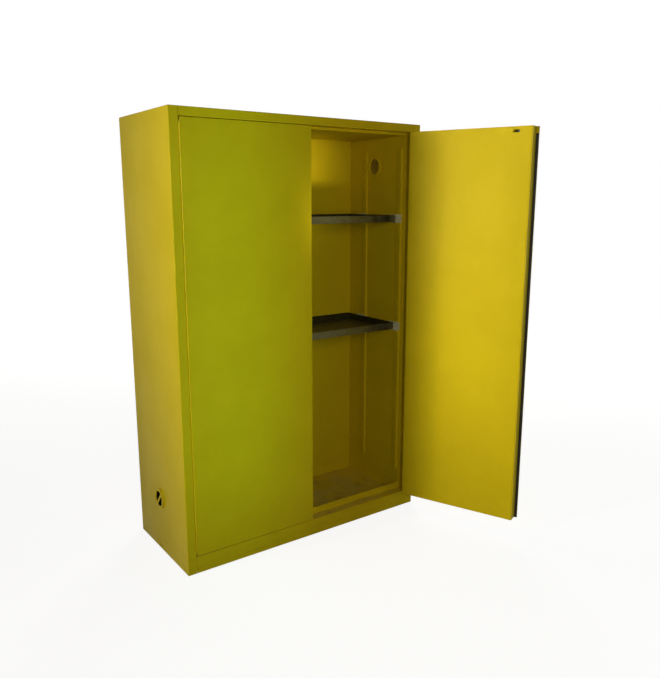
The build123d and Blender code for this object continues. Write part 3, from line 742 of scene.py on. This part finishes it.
class PieceOperator:
    """Shared settings of the operators that make pieces."""

    bl_options = {"REGISTER", "UNDO"}


class CABINET_OT_outer_shell(PieceOperator, bpy.types.Operator):
    """Outer walls, base and door frame in yellow coat"""

    bl_idname = "cabinet.outer_shell"
    bl_label = "Outer Shell"

    def execute(self, context):
        for node in OUTER_SHELL:
            softened(node, yellow_coat())
        return {"FINISHED"}


class CABINET_OT_inner_box(PieceOperator, bpy.types.Operator):
    """Inner walls and sump tray in yellow coat"""

    bl_idname = "cabinet.inner_box"
    bl_label = "Inner Box"

    def execute(self, context):
        for node in INNER_BOX:
            softened(node, yellow_coat())
        return {"FINISHED"}


class CABINET_OT_shelving(PieceOperator, bpy.types.Operator):
    """Slotted standards in yellow coat, shelves of galvanised sheet with painted shade and reflection, clips
    of zinc with a painted highlight
    """

    bl_idname = "cabinet.shelving"
    bl_label = "Shelving"

    def execute(self, context):
        for node in STANDARDS:
            softened(node, yellow_coat())
        # The clips' zinc carries a painted highlight.
        for node in CLIPS:
            softened(node, clip_zinc_with_highlight())
        # The shelves' zinc carries painted shade and a painted reflection of the yellow walls.
        for node in SHELVES:
            softened(node, shelf_zinc_with_painted_light())
        return {"FINISHED"}


class CABINET_OT_vents(PieceOperator, bpy.types.Operator):
    """Flanged vents with rings, flame arresters and bungs"""

    bl_idname = "cabinet.vents"
    bl_label = "Vents"

    def execute(self, context):
        for place in ("lower", "upper"):
            paint_solid(f"vent_{place}", yellow_coat())
            paint_solid(f"vent_ring_{place}", yellow_coat())
            # The bungs' coat carries painted shade in their recesses.
            paint_solid(f"vent_bung_{place}", bung_coat())
            paint_solid(f"arrester_{place}", dull_steel())
        return {"FINISHED"}


class CABINET_OT_doors(PieceOperator, bpy.types.Operator):
    """Both doors in yellow coat, with the seal behind the overlap strip"""

    bl_idname = "cabinet.doors"
    bl_label = "Doors"

    def execute(self, context):
        for node in (*LEFT_DOOR, *RIGHT_DOOR):
            softened(node, yellow_coat())
        softened("edge_seal", seal_rubber())
        return {"FINISHED"}


class CABINET_OT_hinges(PieceOperator, bpy.types.Operator):
    """Full-height hinges with fine knuckles around their pins"""

    bl_idname = "cabinet.hinges"
    bl_label = "Hinges"

    def execute(self, context):
        hinge = context.scene.cabinet_hinge
        opening = math.radians(-JOINTS["door_right_swing"]["range_deg"][0])
        for side, sign in (("left", -1), ("right", 1)):
            axis = Vector(JOINTS[f"door_{side}_swing"]["pos_m"])
            low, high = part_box(f"hinge_frame_{side}")
            axis.z = low.z
            for half, first, turn, lean in (("frame", 0, 0.0, sign), ("door", 1, opening, -sign)):
                piece = grown(f"hinge_{half}_{side}_row", knuckle_tree(), {
                    "Length": high.z - low.z, "Pitch": hinge.pitch, "Gap": hinge.gap, "Radius": hinge.radius,
                    "Leaf": hinge.leaf, "Leaf Offset": lean * hinge.offset, "Reach": hinge.reach,
                    "Leaf Depth": high.y - axis.y - hinge.reach, "First": first, "Finish": yellow_coat()})
                swing = Matrix.Rotation(turn if side == "right" else 0.0, 4, "Z")
                piece.data.transform(Matrix.Translation(axis) @ swing)
                piece.data.shade_smooth()
                piece.data.set_sharp_from_angle(angle=KNUCKLE_SHARP)
                stand_in(piece, f"hinge_{half}_{side}")
            paint_solid(f"hinge_pin_{side}", bright_steel())
        return {"FINISHED"}


class CABINET_OT_latch(PieceOperator, bpy.types.Operator):
    """Handle, rose, lock, cam, rods and guides of the right door"""

    bl_idname = "cabinet.latch"
    bl_label = "Latch"

    def execute(self, context):
        for node in PLATED_PIECES:
            paint_solid(node, plated())
        paint_solid("latch_cam", bright_steel())
        for node in RODS:
            softened(node, dark_steel())
        softened("rod_guides", guide_plastic())
        return {"FINISHED"}


class CABINET_OT_stage(PieceOperator, bpy.types.Operator):
    """Pale floor, soft lamps and the camera"""

    bl_idname = "cabinet.stage"
    bl_label = "Stage"

    def execute(self, context):
        scene = context.scene
        studio = scene.cabinet_studio
        scene.view_settings.view_transform = "Standard"
        self.floor(scene)
        self.sky(scene, studio.sky)
        for lamp in LAMPS:
            self.light(scene, lamp, getattr(studio, lamp.power))
        self.camera(scene, studio)
        return {"FINISHED"}

    def light(self, scene, lamp, power):
        """Hangs a lamp so that it looks at its target."""
        light = bpy.data.lights.new(lamp.name, "AREA")
        light.shape = "RECTANGLE"
        light.size, light.size_y = lamp.size
        light.energy = power
        light.color = lamp.colour
        light.spread = math.radians(lamp.spread)
        holder = bpy.data.objects.new(lamp.name, light)
        holder.location = lamp.place
        holder.rotation_mode = "QUATERNION"
        holder.rotation_quaternion = (Vector(lamp.target) - Vector(lamp.place)).to_track_quat("-Z", "Y")
        scene.collection.objects.link(holder)

    def seen(self, sketch):
        """1 for rays that show the background itself, 0 for those that carry its light."""
        path = sketch.add("ShaderNodeLightPath").outputs
        mirror = sketch.math("MAXIMUM", path["Is Glossy Ray"], path["Is Transmission Ray"])
        return sketch.math("MAXIMUM", path["Is Camera Ray"], mirror)

    def floor(self, scene):
        """A wide pale floor that keeps a soft shadow."""
        mesh = bpy.data.meshes.new("floor")
        shape = bmesh.new()
        bmesh.ops.create_grid(shape, x_segments=1, y_segments=1, size=FLOOR_REACH)
        shape.to_mesh(mesh)
        shape.free()
        floor = bpy.data.objects.new("floor", mesh)
        scene.collection.objects.link(floor)
        material = bpy.data.materials.new("pale_floor")
        material.use_nodes = True
        sketch = NodeSketch(material.node_tree)
        material.node_tree.nodes.remove(material.node_tree.nodes["Principled BSDF"])
        matt = sketch.add("ShaderNodeBsdfDiffuse", Color=FLOOR_GREY).outputs[0]
        place = sketch.add("ShaderNodeTexCoord").outputs["Object"]
        away = sketch.add("ShaderNodeVectorMath", {"operation": "LENGTH"}, i0=place).outputs["Value"]
        level = sketch.span(away, *FLOOR_FADE, *FLOOR_WHITE, True)
        white = sketch.add("ShaderNodeEmission", Color=WHITE, Strength=level).outputs[0]
        share = sketch.math("MULTIPLY", self.seen(sketch), 0.5)
        mix = sketch.add("ShaderNodeMixShader", i0=share, i1=matt, i2=white).outputs[0]
        sketch.feed(material.node_tree.nodes["Material Output"].inputs["Surface"], mix)
        mesh.materials.append(material)

    def sky(self, scene, strength):
        """White where it is seen, a plain even light elsewhere."""
        world = bpy.data.worlds.new("studio_sky")
        world.use_nodes = True
        scene.world = world
        sketch = NodeSketch(world.node_tree)
        level = sketch.span(self.seen(sketch), 0.0, 1.0, strength, 1.0)
        sketch.feed(world.node_tree.nodes["Background"].inputs["Color"], WHITE)
        sketch.feed(world.node_tree.nodes["Background"].inputs["Strength"], level)

    def camera(self, scene, studio):
        """The camera at the place and angle of the photograph."""
        data = bpy.data.cameras.new("camera")
        data.sensor_width = SENSOR_WIDTH
        data.lens = studio.lens
        camera = bpy.data.objects.new("camera", data)
        camera.location = studio.camera
        camera.rotation_euler = (math.pi / 2 - studio.pitch, 0.0, -studio.yaw)
        scene.collection.objects.link(camera)
        scene.camera = camera


OPERATORS = (
    CABINET_OT_outer_shell,
    CABINET_OT_inner_box,
    CABINET_OT_shelving,
    CABINET_OT_vents,
    CABINET_OT_doors,
    CABINET_OT_hinges,
    CABINET_OT_latch,
    CABINET_OT_stage,
)


class VIEW3D_PT_cabinet(bpy.types.Panel):
    """Sizes, colours and steps of the cabinet"""

    bl_label = "Storage Cabinet"
    bl_space_type = "VIEW_3D"
    bl_region_type = "UI"
    bl_category = "Cabinet"

    def draw(self, context):
        for attribute, group in SETTINGS.items():
            box = self.layout.box()
            for name in group.__annotations__:
                box.prop(getattr(context.scene, attribute), name)
        for operator in OPERATORS:
            self.layout.operator(operator.bl_idname)


def register():
    for group in SETTINGS.values():
        bpy.utils.register_class(group)
    for operator in (*OPERATORS, VIEW3D_PT_cabinet):
        bpy.utils.register_class(operator)
    for attribute, group in SETTINGS.items():
        setattr(bpy.types.Scene, attribute, bpy.props.PointerProperty(type=group))


def unregister():
    for attribute in SETTINGS:
        delattr(bpy.types.Scene, attribute)
    for operator in (VIEW3D_PT_cabinet, *reversed(OPERATORS)):
        bpy.utils.unregister_class(operator)
    for group in reversed(SETTINGS.values()):
        bpy.utils.unregister_class(group)


def main():
    """Registers the add-on and makes every piece in turn."""
    register()
    bpy.ops.cabinet.outer_shell()
    bpy.ops.cabinet.inner_box()
    bpy.ops.cabinet.shelving()
    bpy.ops.cabinet.vents()
    bpy.ops.cabinet.doors()
    bpy.ops.cabinet.hinges()
    bpy.ops.cabinet.latch()
    bpy.ops.cabinet.stage()


if __name__ == "__main__":
    main()
